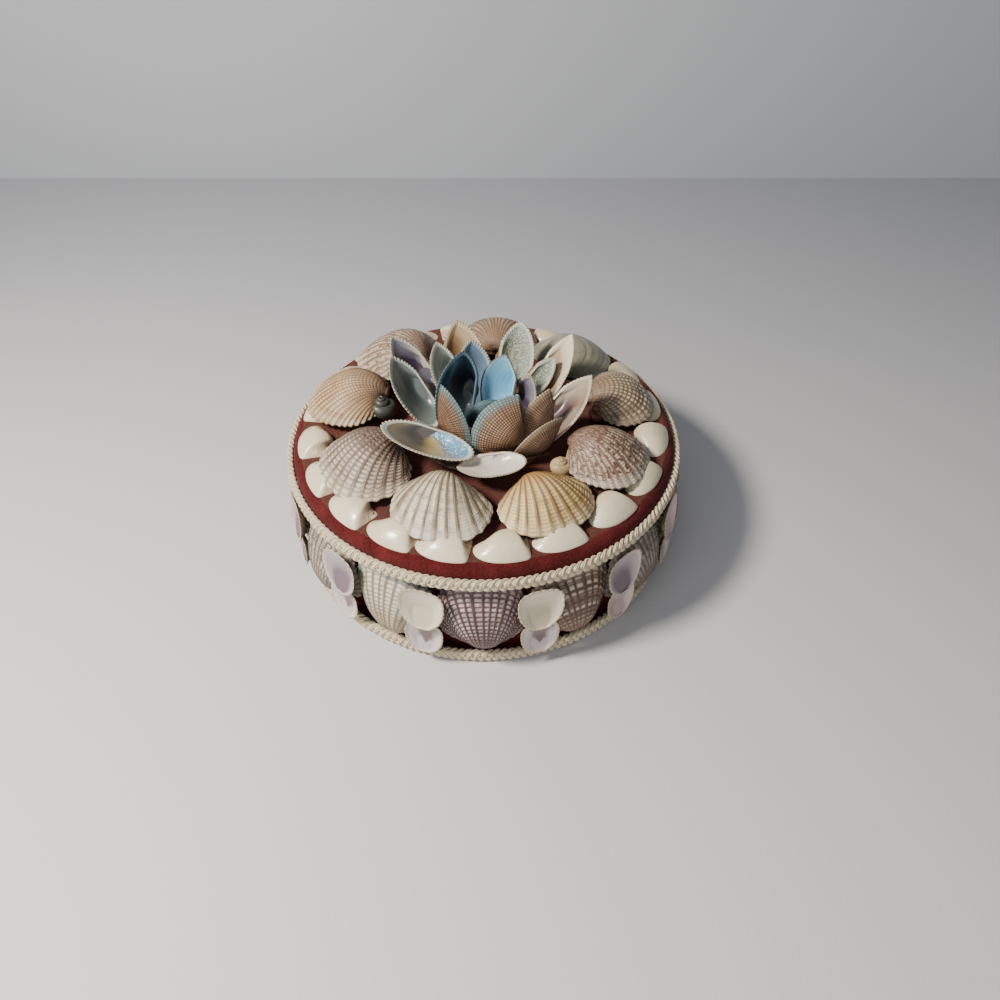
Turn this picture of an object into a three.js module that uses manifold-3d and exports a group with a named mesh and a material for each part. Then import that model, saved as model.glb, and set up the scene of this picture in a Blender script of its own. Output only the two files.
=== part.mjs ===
// Shell box: a round velvet-covered box with a lift-off lid, dressed all over with sea shells.
// Millimetres, +Z up. The origin is on the table under the middle of the box, and the front is -Y.
import * as THREE from "three";
import { mergeVertices } from "three/addons/utils/BufferGeometryUtils.js";
import Module from "manifold-3d";

const wasm = await Module();
wasm.setup();

// ---- Driving dimensions ----
const ROUND = 32; // flats round the box, lid and braids
const GAP = 0.3; // glue line left between pieces that are cut to fit each other

const WALL_RADIUS = 62; // outside of the body's wall
const WALL = 3.4;
const FLOOR = 3;
const SHOULDER = 36; // where the lid's skirt comes down to
const NECK_RADIUS = 60.6;
const RIM_HEIGHT = 40;
const FOOT_RADIUS = 64.7;
const FOOT_HEIGHT = 3.2;

const LID_RADIUS = 65;
const LID_UNDERSIDE = RIM_HEIGHT + GAP;
const LID_TOP = 44;
const LID_ROLL = 3.8; // radius of the rolled velvet edge
const SKIRT_BOTTOM = SHOULDER + GAP;

const LID_BRAID = { inner: 65.25, thick: 2.2, bottom: SKIRT_BOTTOM, tall: 4 };
const FOOT_BRAID = { inner: 64.95, thick: 2.6, bottom: 0.3, tall: 4.4 };

// ---- Colours ----
const VELVET = { color: 0x6b0f1c, roughness: 0.95 };
const BRAID = { color: 0xd9cfb4, roughness: 0.9 };
const IVORY = { color: 0xe9e2d3, roughness: 0.25 };
const ARK = { color: 0xcdbda2, roughness: 0.6 };
const PETAL = { color: 0xb9a58a, roughness: 0.45 };
const SNAIL = { color: 0x6d6a58, roughness: 0.4 };

// ---- Small helpers ----
const rad = THREE.MathUtils.degToRad;

// A point at an azimuth from the front, positive to the right, at a radius and a height.
function polar(azimuth, radius, z) {
  return new THREE.Vector3(
    radius * Math.sin(rad(azimuth)),
    -radius * Math.cos(rad(azimuth)),
    z,
  );
}

function signedPower(value, exponent) {
  return Math.sign(value) * Math.abs(value) ** exponent;
}

function centre(points) {
  const sum = new THREE.Vector3();
  points.forEach((p) => sum.add(p));
  return sum.divideScalar(points.length);
}

// Closes a stack of equal rings into one skin, with a point in the middle of each end ring.
function loft(rings) {
  const sides = rings[0].length;
  const points = [centre(rings[0]), ...rings.flat(), centre(rings.at(-1))];
  const at = (ring, side) => 1 + ring * sides + (side % sides);
  const last = points.length - 1;
  const index = [];
  for (let side = 0; side < sides; side++) {
    index.push(0, at(0, side), at(0, side + 1));
    for (let ring = 0; ring + 1 < rings.length; ring++) {
      const [a, b] = [at(ring, side), at(ring, side + 1)];
      const [c, d] = [at(ring + 1, side), at(ring + 1, side + 1)];
      index.push(a, c, b, b, c, d);
    }
    index.push(last, at(rings.length - 1, side + 1), at(rings.length - 1, side));
  }
  const geometry = new THREE.BufferGeometry().setFromPoints(points);
  geometry.setIndex(index);
  return geometry;
}

function solid(geometry) {
  geometry.deleteAttribute("normal");
  geometry.deleteAttribute("uv");
  const merged = mergeVertices(geometry, 1e-4);
  return new wasm.Manifold(
    new wasm.Mesh({
      numProp: 3,
      vertProperties: merged.attributes.position.array,
      triVerts: new Uint32Array(merged.index.array),
    }),
  );
}

function geometryOf(manifold) {
  const mesh = manifold.getMesh();
  const geometry = new THREE.BufferGeometry();
  geometry.setAttribute(
    "position",
    new THREE.BufferAttribute(mesh.vertProperties, 3),
  );
  geometry.setIndex(new THREE.BufferAttribute(mesh.triVerts, 1));
  geometry.computeVertexNormals();
  return geometry;
}

// Cuts a piece back from its neighbours and keeps the largest body that is left.
function fitted(piece, neighbours) {
  const cut = neighbours.reduce((left, other) => left.subtract(other), piece);
  const bodies = cut.decompose();
  return bodies.reduce((a, b) => (b.volume() > a.volume() ? b : a));
}

const box = new THREE.Group();

function add(name, manifold, finish) {
  const material = new THREE.MeshStandardMaterial({ metalness: 0, ...finish });
  const mesh = new THREE.Mesh(geometryOf(manifold), material);
  mesh.name = name;
  box.add(mesh);
  return mesh;
}

// ---- Box, lid and braids ----
function turned(profile, flats = ROUND) {
  const points = profile.map(([r, z]) => new THREE.Vector2(r, z));
  const lathe = new THREE.LatheGeometry(points, flats);
  return solid(lathe.rotateX(Math.PI / 2));
}

function boxBody() {
  return turned([
    [0, 0],
    [FOOT_RADIUS, 0],
    [FOOT_RADIUS, FOOT_HEIGHT],
    [WALL_RADIUS, FOOT_HEIGHT],
    [WALL_RADIUS, SHOULDER],
    [NECK_RADIUS, SHOULDER],
    [NECK_RADIUS, RIM_HEIGHT],
    [WALL_RADIUS - WALL, RIM_HEIGHT],
    [WALL_RADIUS - WALL, FLOOR],
    [0, FLOOR],
  ]);
}

function lidCap() {
  const skirtInside = NECK_RADIUS + GAP;
  const rollCentre = LID_RADIUS - LID_ROLL;
  const roll = [0, 0.5, 1].map((turn) => {
    const angle = (turn * Math.PI) / 2;
    return [
      rollCentre + LID_ROLL * Math.cos(angle),
      LID_TOP - LID_ROLL + LID_ROLL * Math.sin(angle),
    ];
  });
  return turned([
    [0, LID_UNDERSIDE],
    [skirtInside, LID_UNDERSIDE],
    [skirtInside, SKIRT_BOTTOM],
    [LID_RADIUS, SKIRT_BOTTOM],
    ...roll,
    [0, LID_TOP],
  ]);
}

// A plaited braid as the band that it fills, rounded on its outside.
function braid({ inner, thick, bottom, tall }) {
  const outer = inner + thick;
  const profile = [
    [inner, bottom],
    [outer, bottom + 0.25 * tall],
    [outer, bottom + 0.75 * tall],
    [inner, bottom + tall],
    [inner, bottom],
  ];
  return turned(profile);
}

// ---- Shells ----
// A valve lies in its own frame with its hinge along X, its margin towards +Y and its dome towards +Z.
// Its outline is a rounded D. The shell grew by turning that D about the hinge while it shrank towards
// the beak, a spiral, so every growth line is the outline scaled down and turned up.
const ARK_VALVE = {
  width: 30,
  length: 28,
  hinge: 0.4, // height of the outline's widest line, as a share of the length
  square: 2.3, // exponent of the outline: 2 is an ellipse, more is squarer
  shift: 0, // how far the beak sits to one side, as a share of the width
  spiral: 1.15, // how fast the outline turns up as it shrinks: the fullness of the dome
  beak: 0.18, // size of the smallest growth line
  flute: 0.03, // depth of the ribs, as a share of the distance from the beak
  rows: 3,
  columns: 12,
};
const WHITE_VALVE = {
  ...ARK_VALVE,
  width: 16.6,
  length: 10.4,
  hinge: 0.45,
  square: 2.1,
  shift: 0.12,
  spiral: 1.3,
  beak: 0.35,
  flute: 0,
  rows: 2,
  columns: 7,
};
const PETAL_VALVE = {
  ...ARK_VALVE,
  width: 32,
  length: 14,
  hinge: 0.5,
  square: 2.1,
  spiral: 0.85,
  beak: 0.3,
  flute: 0,
  rows: 2,
  columns: 9,
  thick: 1.2, // wall of an open valve at its margin
  floor: 1.2, // and behind its hollow
  hollowBeak: 0.55, // size of the smallest growth line inside an open valve
};
const CUP_VALVE = {
  ...PETAL_VALVE,
  hinge: 0.45,
  square: 2.4,
  beak: 0.4,
  rows: 1,
  columns: 6,
  thick: 1,
  floor: 2.2,
};

function outline(valve) {
  const halfWidth = valve.width / 2;
  const low = valve.length * valve.hinge;
  const high = valve.length - low;
  const hingeLip = 0.035 * valve.length;
  const start = -Math.asin(((low - hingeLip) / low) ** (valve.square / 2));
  return Array.from({ length: valve.columns }, (_, i) => {
    const angle = start + (i / (valve.columns - 1)) * (Math.PI - 2 * start);
    const x = signedPower(Math.cos(angle), 2 / valve.square);
    const y = signedPower(Math.sin(angle), 2 / valve.square);
    const rib = 1 + (i % 2 ? valve.flute : -valve.flute);
    return [
      rib * (halfWidth * x + valve.shift * valve.width),
      rib * (low + (y > 0 ? high : low) * y),
    ];
  });
}

// One growth line: the outline at a size between the beak's and 1, the margin.
function growthLine(valve, size) {
  const turn = valve.spiral * Math.log(1 / size);
  return outline(valve).map(
    ([x, y]) =>
      new THREE.Vector3(
        size * x,
        size * y * Math.cos(turn),
        size * y * Math.sin(turn),
      ),
  );
}

function growthLines(valve, rows, beak) {
  return Array.from({ length: rows + 1 }, (_, row) =>
    growthLine(valve, beak ** (1 - row / rows)),
  );
}

function domeHeight(valve) {
  const turn = Math.atan(valve.spiral);
  return valve.length * Math.exp(-turn / valve.spiral) * Math.sin(turn);
}

// Stretches growth lines about the middle of the valve's mouth by a distance on each side.
function stretched(lines, valve, sideways, upwards, sink) {
  const middle = new THREE.Vector3(
    valve.shift * valve.width,
    valve.length / 2,
    0,
  );
  const height = domeHeight(valve);
  const scale = new THREE.Vector3(
    1 + (2 * sideways) / valve.width,
    1 + (2 * sideways) / valve.length,
    1 + upwards / height,
  );
  return lines.map((line) =>
    line.map((p) => {
      const q = p.clone().sub(middle).multiply(scale).add(middle);
      q.z -= sink;
      return q;
    }),
  );
}

// A frame whose +Y runs along one direction and whose +Z looks along another, as nearly as it can.
function pose(origin, along, facing) {
  const y = along.clone().normalize();
  const x = y.clone().cross(facing).normalize();
  const z = x.clone().cross(y);
  return new THREE.Matrix4().makeBasis(x, y, z).setPosition(origin);
}

function moved(lines, matrix) {
  return lines.map((line) => line.map((p) => p.clone().applyMatrix4(matrix)));
}

// A valve lying on its mouth, filled by the glue that holds it. A bed reaches down to a flat surface.
function dome(valve, matrix, { grow = 0, bed = null } = {}) {
  const own = growthLines(valve, valve.rows, valve.beak);
  const lines = moved(
    stretched(own, valve, grow, 2 * grow, grow),
    matrix,
  );
  if (bed !== null) {
    const mouth = lines.at(-1);
    const middle = centre(mouth);
    lines.push(
      mouth.map((p) => {
        const q = p.clone().lerp(middle, 0.42);
        q.z = bed - grow;
        return q;
      }),
    );
  }
  return solid(loft(lines));
}

// An open valve with a wall of true thickness: its outside, over the margin, and its inside.
function cup(valve, matrix, grow = 0) {
  const outside = growthLines(valve, valve.rows, valve.beak);
  const inside = growthLines(valve, 1, valve.hollowBeak);
  const wall = valve.thick + grow;
  const lines = [
    ...stretched(outside, valve, grow, 2 * grow, grow),
    ...stretched(inside, valve, -wall, -valve.floor, grow).reverse(),
  ];
  return solid(loft(moved(lines, matrix)));
}

// The space that a shell and the glue line round it take from its neighbours.
function room(make, spec) {
  return make(spec, GAP).add(make(spec));
}

// ---- Shells on the lid ----
// Nine arks lie face down round the flower, beaks to the middle. Each covers a small white shell, and
// the other white shells lie in the gaps between them.
const LID_ARKS = [
  { azimuth: -15.5, radius: 46.9, width: 33, length: 24, white: -9.2 },
  { azimuth: 25, radius: 47.6, width: 32.4, length: 22, white: 25.4 },
  { azimuth: 62, radius: 46, width: 30, length: 26, white: 63.4 },
  { azimuth: 102, radius: 48.4, width: 32, length: 23, white: 101.5 },
  { azimuth: 137, radius: 47.6, width: 31, length: 25, white: 137 },
  { azimuth: 175, radius: 47.2, width: 33, length: 25, white: 173.5 },
  { azimuth: -138, radius: 48.2, width: 34, length: 28, white: -133 },
  { azimuth: -101, radius: 48.4, width: 31, length: 28, white: -97 },
  { azimuth: -56, radius: 45.6, width: 35, length: 27, white: -60.2 },
];
const GAP_WHITES = [-78.7, -42.5, -25.4, 8, 45, 83, 119.5, 155.5, -168.5, -150.5, -115];
const ARK_LIFT = 3; // height of an ark's margin above the lid, on the white shells under it
const ARK_TILT = 3; // beak end up
const WHITE_RADIUS = 57.7;
const UP = new THREE.Vector3(0, 0, 1);

function lidArk({ azimuth, radius, width, length }, grow = 0) {
  const valve = { ...ARK_VALVE, width, length };
  const reach = length * Math.cos(rad(ARK_TILT));
  const hingeHeight = LID_TOP + ARK_LIFT + length * Math.sin(rad(ARK_TILT));
  const hinge = polar(azimuth, radius - reach / 2, hingeHeight);
  const margin = polar(azimuth, radius + reach / 2, LID_TOP + ARK_LIFT);
  const matrix = pose(hinge, margin.sub(hinge), UP);
  return dome(valve, matrix, { grow, bed: LID_TOP });
}

function whiteShell(azimuth, grow = 0) {
  const hinge = polar(azimuth, WHITE_RADIUS - WHITE_VALVE.length / 2, LID_TOP);
  return dome(WHITE_VALVE, pose(hinge, polar(azimuth, 1, 0), UP), { grow });
}

// ---- Flower ----
// The petals stand in a low mound of glue on the middle of the lid.
const MOUND = { radius: 27, shoulder: 20, rise: 2.6, peak: 4, flats: 12 };

function mound(grow = 0) {
  const { radius, shoulder, rise, peak, flats } = MOUND;
  const profile = [
    [0, LID_TOP - 1],
    [radius, LID_TOP - 1],
    [radius, LID_TOP + grow],
    [shoulder, LID_TOP + rise + grow],
    [0, LID_TOP + peak + grow],
  ];
  return turned(profile, flats);
}

// Each petal is a long valve standing on one end, its hollow side to the middle. The columns are the
// foot, the tip, the width, the azimuth and elevation that the hollow looks to, and the hand that the
// margin is on as seen from the hollow with the tip up.
const PETALS = {
  front_left_low: [[-2.5, -26.5, 53], [-31.5, -20, 60], 15, [180, 86], "left"],
  front_low: [[-8, -30.5, 51.5], [14, -29, 53], 13, [180, 86], "right"],
  outer_front_right: [[10, -22, 47], [25.5, -16.5, 60], 11, [-160, 20], "right"],
  outer_right: [[16, -15, 47], [35.5, -2, 66], 15, [-61, 36], "right"],
  outer_right_back: [[17, 5, 46], [30.4, 19, 68], 13, [-50, 25], "right"],
  outer_back_right: [[9, 12, 46], [13, 28, 67], 14, [-20, 25], "right"],
  pearl: [[13, 9, 47], [24.6, 13.6, 62], 9, [-30, 45], "right"],
  outer_back_left: [[-4, 12, 46], [-9.5, 29, 67], 15, [5, 30], "right"],
  small_back_left: [[-10, 9, 46], [-16.5, 20, 64], 11, [30, 30], "left"],
  outer_left_back: [[-15, 7, 46], [-31.8, 20.5, 66], 14, [50, 38], "left"],
  outer_left: [[-16, -5, 46], [-31, 10, 65], 15, [60, 32], "left"],
  inner_left: [[-11, -7, 46], [-6, 4, 71.5], 17, [38, 18], "left"],
  inner_back: [[-2, 6, 46], [-4, 14, 69], 13, [10, 20], "right"],
  inner_back_right: [[3, 2, 46], [7.4, 6, 68.8], 13, [-20, 15], "left"],
  inner_right: [[11, 0, 46], [16, 2, 63], 11, [-40, 30], "right"],
  inner_front_right: [[12, -13, 45], [21.5, -9.5, 66], 13, [-150, 5], "right"],
  inner_front: [[-1, -19.5, 45], [11.5, -13.5, 67], 16, [170, 15], "right"],
  inner_front_left: [[-5, -18, 45], [-13, -10.5, 68.5], 11, [145, 0], "left"],
  heart: [[-5, -7.5, 49], [6, -5.5, 58], 10, [180, 0], "right"],
};

function petal([foot, tip, width, [azimuth, elevation], hand], grow = 0) {
  const margin = hand === "right" ? 1 : -1;
  const start = new THREE.Vector3(...foot);
  const end = new THREE.Vector3(...tip);
  const long = end.clone().sub(start);
  const back = polar(azimuth, -Math.cos(rad(elevation)), -Math.sin(rad(elevation)));
  const across = back.clone().cross(long).normalize().multiplyScalar(margin);
  const facing = long.clone().cross(across).multiplyScalar(margin);
  const hinge = start.lerp(end, 0.5).addScaledVector(across, -width / 2);
  const valve = { ...PETAL_VALVE, width: long.length(), length: width };
  return cup(valve, pose(hinge, across, facing), grow);
}

// ---- Shells round the side ----
// Arks stand beak down, as a fan, and two small open shells lie over each gap between them.
const SIDE_ARKS = 14;
const SIDE_STEP = 360 / SIDE_ARKS;
const SIDE_ARK_VALVE = {
  ...ARK_VALVE,
  width: 27.8,
  length: 27.7,
  hinge: 0.48,
  square: 3.1,
  spiral: 0.95,
  columns: 11,
};
const SIDE_ARK_BOTTOM = 7.4;
const SIDE_CUPS = [
  { width: 14, low: [68.8, 18.2], high: [66.2, 35.4] },
  { width: 12.5, low: [69, 5.6], high: [66.4, 21] },
]; // radius and height of each cup's hinge and of its margin
const CROWD = 2.4; // degrees that the cups at the front and back crowd towards the sides

function sideArk(azimuth, grow = 0) {
  const hinge = polar(azimuth, WALL_RADIUS + GAP / 2, SIDE_ARK_BOTTOM);
  const matrix = pose(hinge, UP, polar(azimuth, 1, 0));
  return dome(SIDE_ARK_VALVE, matrix, { grow });
}

function sideCup(azimuth, { width, low, high }) {
  const hinge = polar(azimuth, ...low);
  const along = polar(azimuth, ...high).sub(hinge);
  const valve = { ...CUP_VALVE, width, length: along.length() };
  return cup(valve, pose(hinge, along, polar(azimuth, -1, 0)));
}

// All the side arks, each with the cups that lean on it.
function sideRow() {
  const azimuths = Array.from({ length: SIDE_ARKS }, (_, i) => i * SIDE_STEP);
  const arks = azimuths.map((azimuth) => sideArk(azimuth));
  const rooms = azimuths.map((azimuth) => room(sideArk, azimuth));
  const after = (i) => (i + 1) % SIDE_ARKS;
  const before = (i) => (i + SIDE_ARKS - 1) % SIDE_ARKS;
  const dressed = [...arks];
  azimuths.forEach((azimuth, i) => {
    const gap = azimuth + SIDE_STEP / 2;
    const lean = CROWD * Math.cos(rad(gap)) * (gap < 180 ? 1 : -1);
    const home = lean > 0 ? after(i) : i;
    SIDE_CUPS.forEach((spec) => {
      dressed[home] = dressed[home].add(sideCup(gap + lean, spec));
    });
  });
  return dressed.map((ark, i) => fitted(ark, [rooms[before(i)], rooms[after(i)]]));
}

// ---- Snails ----
const SNAILS = [
  { azimuth: 43.9, radius: 34.8, size: 7.5, tall: 5 },
  { azimuth: -94.6, radius: 34.6, size: 10, tall: 8 },
  { azimuth: 89.8, radius: 37.8, size: 6, tall: 9 },
];

function snail({ azimuth, radius, size, tall }) {
  const profile = [
    [0, 0],
    [0.38 * size, 0],
    [0.5 * size, 0.3 * tall],
    [0.36 * size, 0.55 * tall],
    [0.26 * size, 0.75 * tall],
    [0, tall],
  ];
  const points = profile.map(([r, z]) => new THREE.Vector2(r, z));
  const lathe = new THREE.LatheGeometry(points, 7).rotateX(Math.PI / 2);
  const place = polar(azimuth, radius, LID_TOP);
  return solid(lathe.translate(place.x, place.y, place.z));
}

// ---- Assembly ----
add("box_body", boxBody(), VELVET);
add("lid", lidCap().add(mound()), VELVET);
add("foot_braid", braid(FOOT_BRAID), BRAID);
add("lid_braid", braid(LID_BRAID), BRAID);

const arkRoom = LID_ARKS.map((spec) => room(lidArk, spec));
const whiteRoom = LID_ARKS.map(({ white }) => room(whiteShell, white));
LID_ARKS.forEach((spec, i) => {
  const others = arkRoom.filter((_, other) => other !== i);
  const white = fitted(whiteShell(spec.white), others);
  const ark = fitted(lidArk(spec), arkRoom.slice(0, i));
  add(`lid_ark_${i + 1}`, ark.add(white), ARK);
});
GAP_WHITES.forEach((azimuth, i) => {
  const white = fitted(whiteShell(azimuth), [...arkRoom, ...whiteRoom]);
  add(`rim_white_${i + 1}`, white, IVORY);
});

const taken = [mound(GAP), ...arkRoom];
Object.entries(PETALS).forEach(([name, spec]) => {
  add(`petal_${name}`, fitted(petal(spec), taken), PETAL);
  taken.push(room(petal, spec));
});
SNAILS.forEach((spec, i) => {
  add(`snail_${i + 1}`, fitted(snail(spec), taken), SNAIL);
});

sideRow().forEach((ark, i) => add(`side_ark_${i + 1}`, ark, ARK));

export default box;
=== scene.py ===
"""Shell box: a round velvet box with a lift-off lid, plaited trim and sea shells glued all over it.

Sizes in the tables are millimetres and angles are degrees. An azimuth is counted from the front to the right.
"""

import math

import bpy
import numpy as np
from bpy.props import FloatProperty, FloatVectorProperty, IntProperty, PointerProperty
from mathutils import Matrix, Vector


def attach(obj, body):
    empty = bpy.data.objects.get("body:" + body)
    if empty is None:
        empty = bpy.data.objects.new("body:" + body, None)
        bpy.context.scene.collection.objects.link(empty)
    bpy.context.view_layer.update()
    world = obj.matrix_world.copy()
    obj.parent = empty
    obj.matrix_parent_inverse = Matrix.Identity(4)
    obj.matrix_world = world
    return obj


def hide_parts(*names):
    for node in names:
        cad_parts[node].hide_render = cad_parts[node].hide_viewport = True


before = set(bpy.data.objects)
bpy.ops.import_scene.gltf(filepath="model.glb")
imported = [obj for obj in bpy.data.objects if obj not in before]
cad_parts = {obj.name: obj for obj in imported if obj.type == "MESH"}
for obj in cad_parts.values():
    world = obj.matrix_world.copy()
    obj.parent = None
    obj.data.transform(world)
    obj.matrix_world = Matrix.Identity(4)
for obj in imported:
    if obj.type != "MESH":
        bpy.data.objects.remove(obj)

bl_info = {
    "name": "Shell Box",
    "version": (1, 0, 0),
    "blender": (4, 5, 0),
    "location": "3D View > Sidebar > Shell Box",
    "description": "Builds a velvet box dressed with sea shells, and its studio",
    "category": "Object",
}

MM = 0.001
TAU = 2 * math.pi
UP = np.array([0, 0, 1.0])
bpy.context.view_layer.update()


# ---- Small helpers ----
def srgb(text):
    """A hex colour as linear red, green and blue."""
    parts = [int(text[i : i + 2], 16) / 255 for i in (1, 3, 5)]
    return tuple(p / 12.92 if p <= 0.04045 else ((p + 0.055) / 1.055) ** 2.4 for p in parts)


def polar(azimuth, radius, z):
    turn = math.radians(azimuth)
    return np.array([radius * math.sin(turn), -radius * math.cos(turn), z])


def unit(vector):
    return vector / np.linalg.norm(vector)


def smooth(low, high, value):
    """0 below low and 1 above high, with an even rise between them."""
    t = np.clip((value - low) / (high - low), 0, 1)
    return t * t * (3 - 2 * t)


def ripple(seed, value, waves=7, slowest=3.0, growth=1.6):
    """A seeded wobble between about -1 and 1 along a value that runs from 0 to 1."""
    random = np.random.default_rng(seed)
    total = np.zeros_like(np.asarray(value, float))
    for k in range(waves):
        pitch = slowest * growth**k
        total = total + np.sin(TAU * (pitch * value + random.random())) / growth ** (0.5 * k)
    return total / 3


def pose(origin, along, facing):
    """A 3x4 frame whose +Y runs along one direction and whose +Z looks, as nearly as it can, along facing."""
    y = unit(along)
    x = unit(np.cross(y, facing))
    return np.column_stack([x, y, np.cross(x, y), origin])


def placed(points, matrix):
    return points @ matrix[:, :3].T + matrix[:, 3]


def normals_of(points):
    """Outward directions of a closed ring of columns: the last column repeats the first."""
    ring = points[:, :-1]
    across = np.roll(ring, -1, axis=1) - np.roll(ring, 1, axis=1)
    along = np.gradient(ring, axis=0)
    normal = np.cross(across, along)
    length = np.linalg.norm(normal, axis=2, keepdims=True)
    normal = normal / np.maximum(length, 1e-9)
    return np.concatenate([normal, normal[:, :1]], axis=1)


# ---- Mesh making ----
def chart_of(across, out):
    """A map whose first number runs along a grid's rows and whose second runs from row to row."""
    return np.stack(np.meshgrid(across, out), axis=2)


def deselect():
    if bpy.context.object and bpy.context.object.mode != "OBJECT":
        bpy.ops.object.mode_set(mode="OBJECT")
    bpy.ops.object.select_all(action="DESELECT")


def grid_piece(name, points, chart, finishes, bands=None):
    """A grid primitive whose points go to their places, joined up where rows or columns meet.

    points is rows x columns x 3 in millimetres, chart the same grid's UV pairs, and bands gives each row of
    faces the number of its finish."""
    rows, columns = points.shape[:2]
    deselect()
    bpy.ops.mesh.primitive_grid_add(x_subdivisions=columns - 1, y_subdivisions=rows - 1, size=2)
    piece = bpy.context.object
    piece.name = piece.data.name = name
    mesh = piece.data
    flat = np.empty(len(mesh.vertices) * 3)
    mesh.vertices.foreach_get("co", flat)
    flat = flat.reshape(-1, 3)
    column = np.rint((flat[:, 0] + 1) / 2 * (columns - 1)).astype(int)
    row = np.rint((flat[:, 1] + 1) / 2 * (rows - 1)).astype(int)
    mesh.vertices.foreach_set("co", (points[row, column] * MM).ravel())
    corner = np.empty(len(mesh.loops), int)
    mesh.loops.foreach_get("vertex_index", corner)
    mesh.uv_layers.active.data.foreach_set("uv", chart[row[corner], column[corner]].ravel())
    for finish in finishes:
        mesh.materials.append(finish)
    if bands is not None:
        first = row[corner].reshape(-1, 4).min(axis=1)
        mesh.polygons.foreach_set("material_index", np.asarray(bands)[first])
    bpy.ops.object.mode_set(mode="EDIT")
    bpy.ops.mesh.select_all(action="SELECT")
    bpy.ops.mesh.remove_doubles(threshold=1e-6)
    bpy.ops.mesh.normals_make_consistent(inside=False)
    bpy.ops.object.mode_set(mode="OBJECT")
    bpy.ops.object.shade_smooth()
    return piece


def settle(piece, nodes):
    """Says what the piece rides on and which solids it stands for."""
    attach(piece, "root")
    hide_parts(*nodes)
    return piece


def turned(name, profile, finishes, flats=192, bands=None, relief=None):
    """A closed profile of radius and height turned about the box's axis."""
    profile = np.array(profile, float)
    turn = np.linspace(0, TAU, flats + 1)
    radius, height = profile[:, 0], profile[:, 1]
    across, back = radius[:, None] * np.sin(turn), -radius[:, None] * np.cos(turn)
    points = np.stack([across, back, height[:, None] * np.ones_like(turn)], axis=2)
    if relief is not None:
        points = relief(points)
    run = np.concatenate([[0], np.cumsum(np.linalg.norm(np.diff(profile, axis=0), axis=1))])
    return grid_piece(name, points, chart_of(turn / TAU, run / run[-1]), finishes, bands)


def rounded(corners, radius, steps=5):
    """A profile with each inner corner rounded off by a small arc."""
    made = [corners[0]]
    for before, corner, after in zip(corners, corners[1:], corners[2:]):
        before, corner, after = (np.array(p, float) for p in (before, corner, after))
        back, on = before - corner, after - corner
        reach = min(radius, 0.45 * np.linalg.norm(back), 0.45 * np.linalg.norm(on))
        start, end = corner + unit(back) * reach, corner + unit(on) * reach
        for t in np.linspace(0, 1, steps):
            made.append((1 - t) ** 2 * start + 2 * t * (1 - t) * corner + t * t * end)
    made.append(corners[-1])
    return [tuple(p) for p in made]


# ---- Materials ----
DUST, GRIME = "#a08c68", "#5f4c3a"
WHITE_BAND, WHITE_BEAK, WHITE_SMUDGE, WHITE_END = "#d2c6a6", "#b89c78", "#b3a184", "#b58f78"
WHITE_TINTS = ["#d2c6aa", "#ccc0ae", "#d9cfba", "#c9b898"]
# pale glitter flakes, made bright as a painted glint
GLITTER_GLINT = (0.85, 0.95, 1.0)
GLUES = {  # where the glue is thin and where it is thick
    "glue_under_shells": ("#4a2c24", "#8a6a50"),
    # the flower's glue is dark partly in its own brown and partly as painted shade under the petals
    "flower_glue": ("#3a211b", "#7d5f48"),
    "glue_behind_shells": ("#4a2022", "#7a5646"),
}


class Value:
    """A socket in a material, so that sums of sockets and numbers read as plain arithmetic."""

    def __init__(self, net, socket):
        self.net, self.socket = net, socket

    def math(self, operation, *others):
        return self.net.node("Math", {"operation": operation}, [self, *others])

    def __add__(self, other):
        return self.math("ADD", other)

    def __sub__(self, other):
        return self.math("SUBTRACT", other)

    def __mul__(self, other):
        return self.math("MULTIPLY", other)

    def __rsub__(self, other):
        return self.net.node("Math", {"operation": "SUBTRACT"}, [other, self])

    __radd__ = __add__
    __rmul__ = __mul__

    def rise(self, low, high):
        """0 below low and 1 above high, with a smooth step between them."""
        settings = {"interpolation_type": "SMOOTHSTEP"}
        return self.net.node("MapRange", settings, {0: self, 1: low, 2: high, 3: 0.0, 4: 1.0})

    def wave(self):
        """A wave from 0 to 1 that is 0 at whole numbers."""
        return 0.5 - (self * TAU).math("COSINE") * 0.5


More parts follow.
